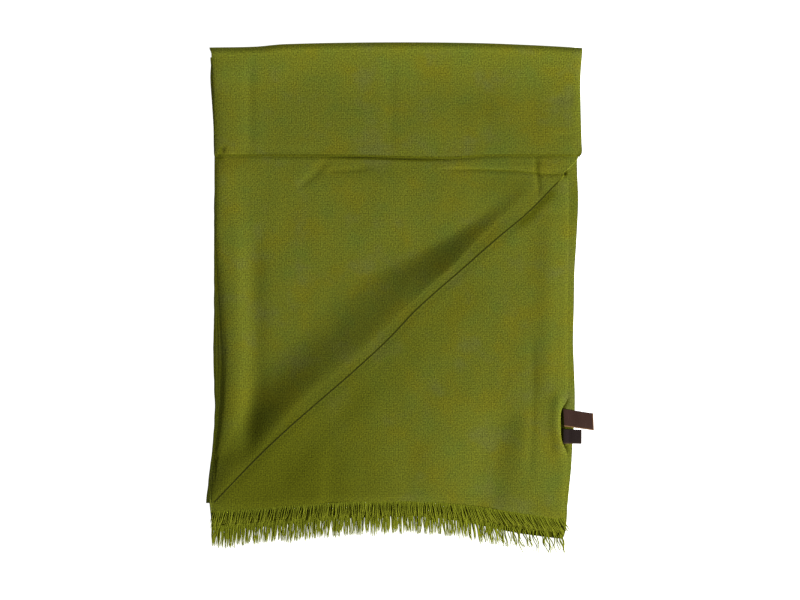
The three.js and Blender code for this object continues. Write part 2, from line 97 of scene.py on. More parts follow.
lapFoldLine = [
    {"x": -178, "y": 135.6},
    {"x": -120, "y": 135.4},
    {"x": -70, "y": 135.2},
    {"x": -29, "y": 134.8},
    {"x": 7, "y": 133.5},
    {"x": 53, "y": 133.4},
    {"x": 80, "y": 135.2},
    {"x": 110, "y": 135.6},
    {"x": 174, "y": 135.0},
]
slantFold = [
    {"y": 240, "x": 171},
    {"y": 200, "x": 170.2},
    {"y": 165, "x": 171},
    {"y": 150, "x": 171.4},
    {"y": 133, "x": 168.6},
    {"y": 123, "x": 159.6},
    {"y": 119.5, "x": 155.2},
    {"y": 116.5, "x": 155.4},
    {"y": 106, "x": 146},
    {"y": 80.7, "x": 120.9},
    {"y": 56.5, "x": 92.2},
    {"y": 33.8, "x": 66.4},
    {"y": -9, "x": 17.7},
    {"y": -40, "x": -11.9},
    {"y": -72, "x": -46.7},
    {"y": -97.5, "x": -76.2},
    {"y": -125.7, "x": -108.3},
    {"y": -154, "x": -137.9},
    {"y": -190, "x": -172.7},
    {"y": -197, "x": -179.4},
]
slantRoll = [
    {"y": 150, "rise": 0, "crest": 10, "reach": 20, "skew": 0.9},
    {"y": 110, "rise": 0.5, "crest": 12, "reach": 18, "skew": 0.9},
    {"y": 80, "rise": 1.8, "crest": 14, "reach": 18, "skew": 0.9},
    {"y": 56, "rise": 4.2, "crest": 12, "reach": 26, "skew": 0.8},
    {"y": 34, "rise": 6.8, "crest": 9, "reach": 42, "skew": 0.7},
    {"y": 15, "rise": 7.8, "crest": 9, "reach": 57, "skew": 0.65},
    {"y": -9, "rise": 7.4, "crest": 8, "reach": 60, "skew": 0.72},
    {"y": -40, "rise": 7.3, "crest": 9, "reach": 57, "skew": 0.8},
    {"y": -64, "rise": 7.4, "crest": 10, "reach": 54, "skew": 0.88},
    {"y": -85, "rise": 8.0, "crest": 11, "reach": 46, "skew": 0.95},
    {"y": -98, "rise": 7.8, "crest": 11, "reach": 37, "skew": 1.0},
    {"y": -112, "rise": 7.4, "crest": 9, "reach": 32, "skew": 1.0},
    {"y": -126, "rise": 6.8, "crest": 6, "reach": 29, "skew": 1.0},
    {"y": -140, "rise": 5.4, "crest": 3, "reach": 27, "skew": 1.0},
    {"y": -154, "rise": 3.8, "crest": 2, "reach": 22, "skew": 1.0},
    {"y": -172, "rise": 1.4, "crest": 2, "reach": 14, "skew": 1.0},
    {"y": -197, "rise": 0.3, "crest": 2, "reach": 8, "skew": 1.0},
]
topFoldLine = [
    {"x": -183, "y": 239.4},
    {"x": -139, "y": 240.2},
    {"x": -111, "y": 242.6},
    {"x": -24, "y": 244.3},
    {"x": 67, "y": 243.8},
    {"x": 127, "y": 241.6},
    {"x": 174, "y": 239},
]
frontHemLine = [
    {"x": -186, "y": -205.6},
    {"x": -150, "y": -203.4},
    {"x": -90, "y": -199},
    {"x": -44, "y": -196.3},
    {"x": 18, "y": -196.2},
    {"x": 70, "y": -200.4},
    {"x": 120, "y": -208.2},
    {"x": 174, "y": -214.2},
]
hemOverlap = [
    {"x": -186, "drop": 18},
    {"x": -100, "drop": 16.5},
    {"x": -5, "drop": 13.5},
    {"x": 42, "drop": 14},
    {"x": 90, "drop": 17.5},
    {"x": 130, "drop": 18.4},
    {"x": 174, "drop": 18.8},
]
hiddenThickness = [
    {"y": -200, "height": 2},
    {"y": -165, "height": 4.2},
    {"y": -120, "height": 6.4},
    {"y": -80, "height": 7},
    {"y": 250, "height": 7},
]

# Creases: a line, how wide the trough is on its left and right as it runs, and its depth. A ridge has a negative depth.
sharedCreases = [
    {"line": [(-142, 50), (-144, -150)], "wide": (13, 13), "depth": 0.8, "fade": 30},
    {"line": [(142, 75), (140, -95)], "wide": (11, 11), "depth": -0.7, "fade": 25},
    {"line": [(102, -108), (94, -145), (87, -200)], "wide": (16, 24), "depth": 0.8, "fade": 20},
    {"line": [(-168, -175), (-80, -192)], "wide": (22, 22), "depth": 0.8, "fade": 25},
    {"line": [(70, 160), (138, 172)], "wide": (16, 16), "depth": 0.6, "fade": 25},
]
foldShade = [(row["x"], row["y"]) for row in slantFold[8:]]
underCreases = [
    {"line": [(159.5, -96), (155.4, -101), (154, -106), (153.8, -120), (154, -136), (156, -142), (159.5, -146)],
     "wide": (1.5, 1.5), "depth": 1.3, "fade": 3},
]
# The shade lists below use the crease columns but are painted into the colour: painted shade, and painted light where
# the depth is negative
underShade = [
    {"line": [(158.6, -97), (155.4, -101), (154, -106), (153.8, -120), (154, -136), (156, -142), (158.6, -145)],
     "wide": (2.0, 2.0), "depth": 0.85, "fade": 2},
    {"line": [(155.5, -122.2), (164.5, -124)], "wide": (2.4, 2.4), "depth": 0.85, "fade": 1},
]
hemShade = [
    {"line": [(170, 115), (168, 68)], "wide": (9, 9), "depth": 0.16, "fade": 12},
    {"line": [(94, -216), (108, -218.5)], "wide": (5, 5), "depth": 0.35, "fade": 3},
    {"line": [(52, -219.5), (90, -222), (125, -227), (164, -231)], "wide": (6, 12), "depth": 0.5, "fade": 14},
]
lapShade = [
    {"line": [(-190, 232), (-60, 235), (60, 235), (182, 232)], "wide": (30, 32), "depth": -0.26, "fade": 4},
    {"line": [(-190, 242), (-24, 246), (67, 246), (182, 242)], "wide": (8, 8), "depth": -0.6, "fade": 4},
    {"line": [(-190, 135.9), (-120, 135.7), (-70, 135.5), (-29, 135.1), (7, 133.8), (53, 133.7), (80, 135.5), (110, 135.9),
              (182, 135.3)],
     "wide": (0.8, 0.8), "depth": 0.4, "fade": 40},
    {"line": [(174, 142), (173, 137), (169, 134.6)], "wide": (2, 2), "depth": 0.55, "fade": 3},
    {"line": [(-169.6, 144), (-171.2, 139.5), (-171.8, 135)], "wide": (1.4, 1.8), "depth": 0.4, "fade": 2},
]
flapShade = [
    {"line": [(-178, 134.8), (-120, 134.6), (-70, 134.4), (-29, 134), (7, 132.7), (53, 132.6), (80, 134.4), (110, 134.8),
              (168, 134.2)], "wide": (1.1, 1.1), "depth": 0.25, "fade": 60},
    {"line": [(-70, 134), (-29, 133.7), (-8, 133), (7, 132.2), (25, 131.6), (46, 131.8)], "wide": (1.4, 1.4), "depth": 0.5, "fade": 60},
    {"line": [(60, 122.7), (76, 122.4), (110, 121.2), (133, 118.6), (160, 117)], "wide": (1.1, 1.1), "depth": 0.24, "fade": 20},
    {"line": [(129.4, 134), (130.2, 118)], "wide": (1.8, 1.8), "depth": 0.28, "fade": 6},
    {"line": [(131, 116), (133, 98)], "wide": (3, 3), "depth": 0.12, "fade": 6},
    {"line": [(155.5, 117), (158.5, 120)], "wide": (1.6, 1.6), "depth": 0.6, "fade": 1},
    {"line": [(-171.8, 135.5), (-172, 130.5)], "wide": (1.6, 1.6), "depth": 0.35, "fade": 2},
]
frontShade = [
    {"line": [(147, 103.5), (134, 90), (124, 79), (112, 69)], "wide": (6, 8), "depth": 0.32, "fade": 8},
    {"line": [(85, 20), (35, -25), (5, -56), (-30, -88), (-60, -113)], "wide": (20, 20), "depth": 0.09, "fade": 40},
    {"line": [(155.4, 117.6), (158.6, 120.6)], "wide": (2.2, 2.2), "depth": 0.85, "fade": 1},
]
frontCreases = [
    {"line": foldShade, "wide": (4, 1.6), "depth": 0.4, "fade": 20},
    {"line": [(155.5, 118.6), (158, 120.4)], "wide": (2, 2), "depth": 2.0, "fade": 2},
    {"line": [(122, 80.5), (140, 81), (166, 80)], "wide": (2.6, 3.4), "depth": 0.5, "fade": 8},
    {"line": [(126, -40), (127, -100), (124, -172)], "wide": (3, 5), "depth": 0.35, "fade": 30},
    {"line": [(98, -104), (91, -145), (84, -202)], "wide": (18, 34), "depth": 1.5, "fade": 25},
    {"line": [(-66, -150), (-70, -206)], "wide": (14, 6), "depth": 0.5, "fade": 20},
    {"line": [(20, -120), (60, -150), (100, -160)], "wide": (12, 12), "depth": 0.3, "fade": 30},
    {"line": [(60, -20), (110, -60), (132, -110)], "wide": (14, 14), "depth": 0.3, "fade": 40},
    {"line": [(-20, -90), (10, -150), (14, -200)], "wide": (16, 16), "depth": 0.3, "fade": 30},
    {"line": [(-30, -80), (-90, -140), (-120, -180)], "wide": (14, 34), "depth": 0.9, "fade": 40},
    {"line": [(151, -92), (149, -122), (154, -150)], "wide": (3.5, 6), "depth": -0.9, "fade": 10},
]
flapCreases = [
    {"line": [(-175, 132), (-175, 50), (-171, -8), (-167, -50), (-168, -95), (-174, -150)],
     "wide": (20, 4), "depth": -1.7, "fade": 30},
    {"line": [(-175, 133), (-175, 60)], "wide": (32, 4), "depth": -0.7, "fade": 20},
    {"line": [(-170, 135.4), (-120, 135.2), (-70, 135), (-29, 134.6), (7, 133.3), (53, 133.2), (80, 135), (110, 135.4),
              (168, 134.8)], "wide": (2, 1.4), "depth": 0.8, "fade": 130},
    {"line": [(-71, 130), (-84, 116), (-96, 106)], "wide": (3, 3.4), "depth": 0.7, "fade": 8},
    {"line": [(-69, 121.5), (-50, 122), (-30, 124)], "wide": (3, 3), "depth": 0.6, "fade": 10},
    {"line": [(40, 123.4), (76, 122.4), (110, 121.2), (133, 118.6), (160, 117)], "wide": (1.4, 2.4), "depth": 0.8, "fade": 30},
    {"line": [(36, 128), (80, 127), (150, 124)], "wide": (4, 4), "depth": -0.4, "fade": 20},
    {"line": [(129.4, 135), (130.2, 118), (133, 96)], "wide": (2, 2.4), "depth": 0.6, "fade": 12},
    {"line": [(131.5, 80), (128, -60)], "wide": (4, 4), "depth": 0.25, "fade": 40},
    {"line": [(-157, 90), (-155, 20), (-152, -60), (-158, -140)], "wide": (8, 8), "depth": -0.5, "fade": 50},
    {"line": [(-166, -60), (-167, -105), (-174, -150)], "wide": (22, 4), "depth": -0.9, "fade": 30},
    {"line": [(-140, 60), (-139, 0), (-136, -60), (-146, -150)], "wide": (9, 9), "depth": 0.5, "fade": 40},
    {"line": [(-60, 60), (-20, 40), (40, 60)], "wide": (18, 18), "depth": 0.3, "fade": 40},
    {"line": [(-110, 20), (-60, -20), (-30, 10)], "wide": (20, 20), "depth": 0.3, "fade": 40},
]
lapCreases = [
    {"line": [(-178, 239), (-176, 134)], "wide": (28, 3), "depth": -2.2, "fade": 6},
    {"line": [(144, 191), (166, 190)], "wide": (4, 4), "depth": 0.5, "fade": 8},
    {"line": [(147, 155), (166, 154)], "wide": (3, 3), "depth": 0.4, "fade": 8},
    {"line": [(-9, 240), (-9, 136)], "wide": (3, 4), "depth": 0.3, "fade": 20},
    {"line": [(-143, 238), (-143, 136)], "wide": (4, 5), "depth": 0.4, "fade": 25},
    {"line": [(42, 176), (92, 172)], "wide": (12, 10), "depth": 0.5, "fade": 20},
    {"line": [(-171, 134), (-168.5, 144)], "wide": (1.6, 2.4), "depth": 0.9, "fade": 4},
    {"line": [(-120, 210), (-60, 190), (0, 195)], "wide": (16, 14), "depth": 0.3, "fade": 30},
    {"line": [(-160, 141), (-100, 141), (-70, 139)], "wide": (3, 5), "depth": 0.35, "fade": 20},
]


# Soft spots painted darker into the colour, most of them painted shade where the cloth lies in shade: middle, half
# sizes and how much darker
paintedDarkSpots = [
    {"x": -112, "y": -186, "wide": 108, "tall": 95, "share": 0.36},
    {"x": 78, "y": 181, "wide": 42, "tall": 13, "share": 0.12},
    {"x": 30, "y": -80, "wide": 115, "tall": 90, "share": 0.06},
    {"x": -31, "y": 121, "wide": 55, "tall": 11, "share": 0.12},
    {"x": 98, "y": 108, "wide": 26, "tall": 14, "share": 0.12},
]


def along(table, column, at, place="y"):
    # value of a column on a smooth curve through the table's rows
    rows = table if table[-1][place] > table[0][place] else table[::-1]
    if at <= rows[0][place]:
        return rows[0][column]
    if at >= rows[-1][place]:
        return rows[-1][column]
    i = next(k for k in range(1, len(rows)) if rows[k][place] >= at)
    a, b = rows[i - 1], rows[i]
    before, after = rows[max(i - 2, 0)], rows[min(i + 1, len(rows) - 1)]
    step = b[place] - a[place]
    m0 = (b[column] - before[column]) / (b[place] - before[place]) * step
    m1 = (after[column] - a[column]) / (after[place] - a[place]) * step
    t = (at - a[place]) / step
    return ((2 * t**3 - 3 * t**2 + 1) * a[column] + (t**3 - 2 * t**2 + t) * m0
            + (3 * t**2 - 2 * t**3) * b[column] + (t**3 - t**2) * m1)


def mix(a, b, t):
    return a + (b - a) * t


def smooth(t):
    c = min(max(t, 0.0), 1.0)
    return c * c * (3 - 2 * c)


def creasesAt(creases, x, y):
    # depth of all creases at a place, each soft at its ends
    total = 0.0
    for crease in creases:
        line = crease["line"]
        best = None
        run = 0.0
        length = sum(math.dist(line[k], line[k + 1]) for k in range(len(line) - 1))
        for (x0, y0), (x1, y1) in zip(line, line[1:]):
            dx, dy = x1 - x0, y1 - y0
            span = math.hypot(dx, dy)
            t = ((x - x0) * dx + (y - y0) * dy) / span**2
            c = min(max(t, 0.0), 1.0)
            off = math.hypot(x - x0 - c * dx, y - y0 - c * dy)
            if best is None or off < best[0]:
                leftSide = dx * (y - y0) - dy * (x - x0) > 0
                best = (off, run + c * span, leftSide)
            run += span
        off, travelled, leftSide = best
        width = crease["wide"][0 if leftSide else 1]
        ends = min(travelled, length - travelled) / crease["fade"]
        total += crease["depth"] * math.exp(-((off / width) ** 2)) * smooth(0.35 + ends)
    return total


def hiddenTop(x, y):
    # top of the hidden layers: their thickness, rounded shoulders and the creases that all layers share
    fromLeft = max(x - along(sides, "outer", y), 0)
    fromRight = max(along(sides, "under", y) - x, 0)
    leftBend = 1.3 + 1.5 * smooth((60 - y) / 60) * smooth((y + 200) / 40)
    shoulder = leftBend * math.exp(-fromLeft / 9) + 0.7 * math.exp(-fromRight / 9)
    thickness = along(hiddenThickness, "height", y)
    return thickness - (shoulder + creasesAt(sharedCreases, x, y)) * min(thickness / cloth["hiddenHeight"], 1)


def frontHem(x):
    return along(frontHemLine, "y", x, "x")


def bedHeight(x, y):
    # what the under leaf lies on: the hidden layers, then the table past their end
    past = (frontHem(x) + 8 - y) / 14
    return (hiddenTop(x, y) + 0.3) * (1 - smooth(past))


def paintedLightAndShade(x, y, lines=()):
    # painted light and shade in the colour: the folds at the left edge, which lie in shade, are painted paler; the
    # shade lines paint shade, and light where their depth is negative; the dark spots are painted darker
    wearAndPaintedLight = smooth((along(sides, "flap", y) - x) / 1.5) * smooth((100 - y) / 60)
    tone = (1.0 + cloth["paintedFoldLight"] * wearAndPaintedLight) * (1.0 - min(creasesAt(lines, x, y), 0.9))
    for spot in paintedDarkSpots:
        away = ((x - spot["x"]) / spot["wide"]) ** 2 + ((y - spot["y"]) / spot["tall"]) ** 2
        tone -= spot["share"] * math.exp(-away)
    return tone


def ripple(x, y, size, seed):
    # small uneven waves of a soft cloth, in millimetres
    return noise.noise(Vector((x / size, y / size, seed)))


def toPart(x, y, z, shade=1.0):
    return Vector(((x - cloth["tableMiddle"][0]) * mm, (y - cloth["tableMiddle"][1]) * mm, z * mm))


def newPiece(name, bm, material, replaces):
    mesh = bpy.data.meshes.new(name)
    bm.to_mesh(mesh)
    bm.free()
    mesh.polygons.foreach_set("use_smooth", [True] * len(mesh.polygons))
    piece = bpy.data.objects.new(name, mesh)
    bpy.context.scene.collection.objects.link(piece)
    mesh.materials.append(material)
    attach(piece, "root")
    if replaces:
        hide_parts(replaces)
    return piece


def thicken(piece, thickness):
    wall = piece.modifiers.new("wall", "SOLIDIFY")
    wall.thickness = thickness * mm
    wall.offset = 0.0
    return wall


def makeSheet(name, columns, rows, place, material, replaces, thickness=None, tone=paintedLightAndShade):
    # a grid whose points are laid out by place(u, v), which gives the point and its place on the flat cloth
    bm = bmesh.new()
    uvLayer = bm.loops.layers.uv.new("clothPlace")
    toneLayer = bm.verts.layers.float.new("paintedLightAndShade")
    bmesh.ops.create_grid(bm, x_segments=columns, y_segments=rows, size=1.0)
    flat = {}
    for vert in bm.verts:
        point, flatPlace = place((vert.co.x + 1) / 2, (vert.co.y + 1) / 2)
        vert.co = toPart(*point)
        vert[toneLayer] = tone(point[0], point[1]) * (point[3] if len(point) > 3 else 1.0)
        flat[vert] = (flatPlace[0] * mm, flatPlace[1] * mm)
    for face in bm.faces:
        for loop in face.loops:
            loop[uvLayer].uv = flat[loop.vert]
    for edge in bm.edges:
        edge.smooth = not edge.is_boundary
    bmesh.ops.recalc_face_normals(bm, faces=bm.faces)
    top = sum(face.normal.z * face.calc_area() for face in bm.faces)
    if top < 0:
        bmesh.ops.reverse_faces(bm, faces=bm.faces)
    piece = newPiece(name, bm, material, replaces)
    thicken(piece, thickness or cloth["weaveThickness"])
    return piece


# Materials

clothLook = {
    "olive": (0.119, 0.131, 0.0100),
    "green": (0.104, 0.129, 0.0125),
    "gold": (0.133, 0.132, 0.0075),
    "grey": (0.115, 0.126, 0.0200),
    # the deeper green that painted shade turns the colour towards
    "shadeGreen": (0.123, 0.133, 0.0030),
    "patch": 26.0,
    "twillPitch": 0.0034,
    "dark": 0.4,
    "light": 1.62,
    "roughness": 0.95,
    "sheen": 0.06,
}


def link(tree, a, b):
    tree.links.new(a, b)


def setOrLink(tree, socket, value):
    if isinstance(value, bpy.types.NodeSocket):
        link(tree, value, socket)
    elif isinstance(value, tuple):
        socket.default_value = (*value, 1)
    else:
        socket.default_value = value


def mathNode(tree, operation, *values):
    node = tree.nodes.new("ShaderNodeMath")
    node.operation = operation
    for k, value in enumerate(values):
        setOrLink(tree, node.inputs[k], value)
    return node.outputs[0]


def noiseNode(tree, place, scale, detail, roughness=0.5):
    node = tree.nodes.new("ShaderNodeTexNoise")
    setOrLink(tree, node.inputs["Scale"], scale)
    node.inputs["Detail"].default_value = detail
    node.inputs["Roughness"].default_value = roughness
    link(tree, place, node.inputs["Vector"])
    return node.outputs[0]


def makeWeaveGroup():
    # crossed twill lines under a fine uneven grain, and the soft patches in which the dye took differently
    tree = bpy.data.node_groups.new("crossedTwill", "ShaderNodeTree")
    socket = tree.interface.new_socket
    socket("Place", in_out="INPUT", socket_type="NodeSocketVector")
    socket("Pitch", in_out="INPUT", socket_type="NodeSocketFloat")
    socket("Patch scale", in_out="INPUT", socket_type="NodeSocketFloat")
    socket("Grain", in_out="OUTPUT", socket_type="NodeSocketFloat")
    socket("Height", in_out="OUTPUT", socket_type="NodeSocketFloat")
    socket("Gold patches", in_out="OUTPUT", socket_type="NodeSocketFloat")
    socket("Grey patches", in_out="OUTPUT", socket_type="NodeSocketFloat")
    source = tree.nodes.new("NodeGroupInput")
    out = tree.nodes.new("NodeGroupOutput")
    split = tree.nodes.new("ShaderNodeSeparateXYZ")
    place = source.outputs["Place"]
    link(tree, place, split.inputs[0])
    turns = mathNode(tree, "DIVIDE", math.tau, source.outputs["Pitch"])
    rising = mathNode(tree, "MULTIPLY", mathNode(tree, "ADD", split.outputs["X"], split.outputs["Y"]), turns)
    falling = mathNode(tree, "MULTIPLY", mathNode(tree, "SUBTRACT", split.outputs["X"], split.outputs["Y"]), turns)
    crossed = mathNode(tree, "MULTIPLY", mathNode(tree, "SINE", rising), mathNode(tree, "SINE", falling))
    fine = noiseNode(tree, place, 700, 2, 0.6)
    coarse = noiseNode(tree, place, 210, 2)
    shown = mathNode(tree, "MULTIPLY", crossed, mathNode(tree, "MULTIPLY_ADD", coarse, 0.5, 0.0))
    grain = mathNode(tree, "ADD", mathNode(tree, "MULTIPLY_ADD", shown, 0.5, 0.0),
                     mathNode(tree, "MULTIPLY_ADD", fine, 1.7, -0.35))
    patch = noiseNode(tree, place, source.outputs["Patch scale"], 3, 0.55)
    shifted = tree.nodes.new("ShaderNodeVectorMath")
    shifted.operation = "ADD"
    link(tree, place, shifted.inputs[0])
    shifted.inputs[1].default_value = (0.7, 0.3, 0.5)
    greyPatch = noiseNode(tree, shifted.outputs[0], source.outputs["Patch scale"], 3, 0.6)
    link(tree, grain, out.inputs["Grain"])
    link(tree, grain, out.inputs["Height"])
    link(tree, patch, out.inputs["Gold patches"])
    link(tree, greyPatch, out.inputs["Grey patches"])
    return tree


def mixColour(tree, factor, a, b, blend="MIX"):
    node = tree.nodes.new("ShaderNodeMix")
    node.data_type = "RGBA"
    node.blend_type = blend
    for socket, value in ((node.inputs[0], factor), (node.inputs[6], a), (node.inputs[7], b)):
        setOrLink(tree, socket, value)
    return node.outputs[2]


def rampNode(tree, factor, low, high):
    node = tree.nodes.new("ShaderNodeMapRange")
    node.interpolation_type = "SMOOTHSTEP"
    link(tree, factor, node.inputs["Value"])
    node.inputs["From Min"].default_value = low
    node.inputs["From Max"].default_value = high
    return node.outputs[0]


def newMaterial(name, roughness):
    material = bpy.data.materials.new(name)
    material.use_nodes = True
    tree = material.node_tree
    shader = tree.nodes["Principled BSDF"]
    shader.inputs["Roughness"].default_value = roughness
    shader.inputs["Specular IOR Level"].default_value = 0.08
    return material, tree, shader


weaveGroup = makeWeaveGroup()


def makeClothMaterial(name, paintedBrightness=1.0):
    material, tree, shader = newMaterial(name, clothLook["roughness"])
    place = tree.nodes.new("ShaderNodeUVMap")
    place.uv_map = "clothPlace"
    weave = tree.nodes.new("ShaderNodeGroup")
    weave.node_tree = weaveGroup
    weave.inputs["Pitch"].default_value = clothLook["twillPitch"]
    weave.inputs["Patch scale"].default_value = clothLook["patch"]
    link(tree, place.outputs[0], weave.inputs["Place"])
    gold, grey = weave.outputs["Gold patches"], weave.outputs["Grey patches"]
    palette = {key: tuple(c * paintedBrightness for c in clothLook[key]) for key in ("olive", "green", "gold", "grey", "shadeGreen")}
    greenToOlive = mixColour(tree, rampNode(tree, gold, 0.3, 0.5), palette["green"], palette["olive"])
    golden = mixColour(tree, rampNode(tree, gold, 0.48, 0.66), greenToOlive, palette["gold"])
    greyed = mixColour(tree, rampNode(tree, grey, 0.5, 0.74), golden, palette["grey"])
    depth = tree.nodes.new("ShaderNodeMapRange")
    link(tree, weave.outputs["Grain"], depth.inputs["Value"])
    depth.inputs["To Min"].default_value = clothLook["dark"]
    depth.inputs["To Max"].default_value = clothLook["light"]
    # painted light and shade from the sheets: below full tone the colour darkens and turns towards a deeper green
    tone = tree.nodes.new("ShaderNodeAttribute")
    tone.attribute_name = "paintedLightAndShade"
    full = mixColour(tree, rampNode(tree, tone.outputs["Fac"], 0.6, 1.0), palette["shadeGreen"], greyed)
    scaled = tree.nodes.new("ShaderNodeVectorMath")
    scaled.operation = "SCALE"
    link(tree, full, scaled.inputs[0])
    link(tree, mathNode(tree, "MULTIPLY", depth.outputs[0], tone.outputs["Fac"]), scaled.inputs["Scale"])
    link(tree, scaled.outputs[0], shader.inputs["Base Color"])
    bump = tree.nodes.new("ShaderNodeBump")
    bump.inputs["Strength"].default_value = 0.5
    bump.inputs["Distance"].default_value = 0.0003
    link(tree, weave.outputs["Height"], bump.inputs["Height"])
    link(tree, bump.outputs[0], shader.inputs["Normal"])
    shader.inputs["Sheen Weight"].default_value = clothLook["sheen"]
    shader.inputs["Sheen Roughness"].default_value = 0.45
    shader.inputs["Sheen Tint"].default_value = (0.6, 0.66, 0.12, 1)
    return material


clothMaterial = makeClothMaterial("olivePashmina")
# the hidden layers' copy is painted lighter, as painted light on their shaded edges
paintedLightLayersMaterial = makeClothMaterial("olivePashminaFolds", 1.15)


def makeYarnMaterial():
    # fringe yarn: darker at the root, partly the cloth's own colour and partly painted shade under the hem, paler and
    # yellower at the tip, each yarn a little different, and carrying the cloth's painted light and shade
    material, tree, shader = newMaterial("fringeYarn", 0.9)
    place = tree.nodes.new("ShaderNodeUVMap")
    place.uv_map = "clothPlace"
    split = tree.nodes.new("ShaderNodeSeparateXYZ")
    link(tree, place.outputs[0], split.inputs[0])
    perYarn = tree.nodes.new("ShaderNodeTexNoise")
    perYarn.inputs["Scale"].default_value = 1.7
    perYarn.inputs["Detail"].default_value = 1
    link(tree, place.outputs[0], perYarn.inputs["Vector"])
    rootToTip = mixColour(tree, rampNode(tree, split.outputs["Y"], 0.25, 1.1), (0.130, 0.148, 0.006), (0.225, 0.245, 0.014))
    varied = mixColour(tree, rampNode(tree, perYarn.outputs[0], 0.5, 0.8), rootToTip, (0.225, 0.25, 0.016))
    tone = tree.nodes.new("ShaderNodeAttribute")
    tone.attribute_name = "paintedLightAndShade"
    scaled = tree.nodes.new("ShaderNodeVectorMath")
    scaled.operation = "SCALE"
    link(tree, varied, scaled.inputs[0])
    link(tree, tone.outputs["Fac"], scaled.inputs["Scale"])
    link(tree, scaled.outputs[0], shader.inputs["Base Color"])
    twist = mathNode(tree, "SINE", mathNode(tree, "ADD", mathNode(tree, "MULTIPLY", split.outputs["Y"], 95.0),
                                            mathNode(tree, "MULTIPLY", split.outputs["X"], math.tau * 2)))
    bump = tree.nodes.new("ShaderNodeBump")
    bump.inputs["Strength"].default_value = 0.2
    bump.inputs["Distance"].default_value = 0.0002
    link(tree, twist, bump.inputs["Height"])
    link(tree, bump.outputs[0], shader.inputs["Normal"])
    shader.inputs["Sheen Weight"].default_value = 0.06
    shader.inputs["Sheen Roughness"].default_value = 0.4
    shader.inputs["Sheen Tint"].default_value = (0.7, 0.72, 0.2, 1)
    return material


yarnMaterial = makeYarnMaterial()


def makeLabelMaterial(name, size):
    # satin woven ribbon: fine ribs, and tan threads frayed free at two edges
    material, tree, shader = newMaterial(name, 0.7)
    shader.inputs["Specular IOR Level"].default_value = 0.04
    place = tree.nodes.new("ShaderNodeUVMap")
    place.uv_map = "clothPlace"
    split = tree.nodes.new("ShaderNodeSeparateXYZ")
    link(tree, place.outputs[0], split.inputs[0])
    across, up = split.outputs["X"], split.outputs["Y"]
    ribs = mathNode(tree, "SINE", mathNode(tree, "MULTIPLY", across, math.tau * 1400))
    shade = mathNode(tree, "MULTIPLY_ADD", ribs, 0.12, 0.88)
    frayed = noiseNode(tree, place.outputs[0], 900, 2)
    length, half = size["length"] * mm, size["height"] * mm / 2
    rightEdge = rampNode(tree, across, length - 1.3 * mm, length - 0.2 * mm)
    lowerEdge = rampNode(tree, mathNode(tree, "MULTIPLY", up, -1.0), half - 1.4 * mm, half - 0.3 * mm)
    edges = mathNode(tree, "MAXIMUM", rightEdge, lowerEdge)
    wearAndPaintedLight = mathNode(tree, "MULTIPLY", edges, mathNode(tree, "MULTIPLY", frayed, size["fray"]))
    scaled = tree.nodes.new("ShaderNodeVectorMath")
    scaled.operation = "SCALE"
    scaled.inputs[0].default_value = size["ground"]
    link(tree, shade, scaled.inputs["Scale"])
    link(tree, mixColour(tree, wearAndPaintedLight, scaled.outputs[0], size["wearAndPaintedLight"]), shader.inputs["Base Color"])
    bump = tree.nodes.new("ShaderNodeBump")
    bump.inputs["Strength"].default_value = 0.4
    bump.inputs["Distance"].default_value = 0.0001
    link(tree, ribs, bump.inputs["Height"])
    link(tree, bump.outputs[0], shader.inputs["Normal"])
    return material


print("materials made")


# The hidden layers: one rounded solid, with a round fold for each layer at the left and paired edges at the right

layers = {"folds": 6, "foldSteps": 8, "rows": 150, "columns": 22, "pinch": 1.5, "endSetback": 9,
          "inset": -0.6, "loose": 0.9, "rightSetback": 1.6}


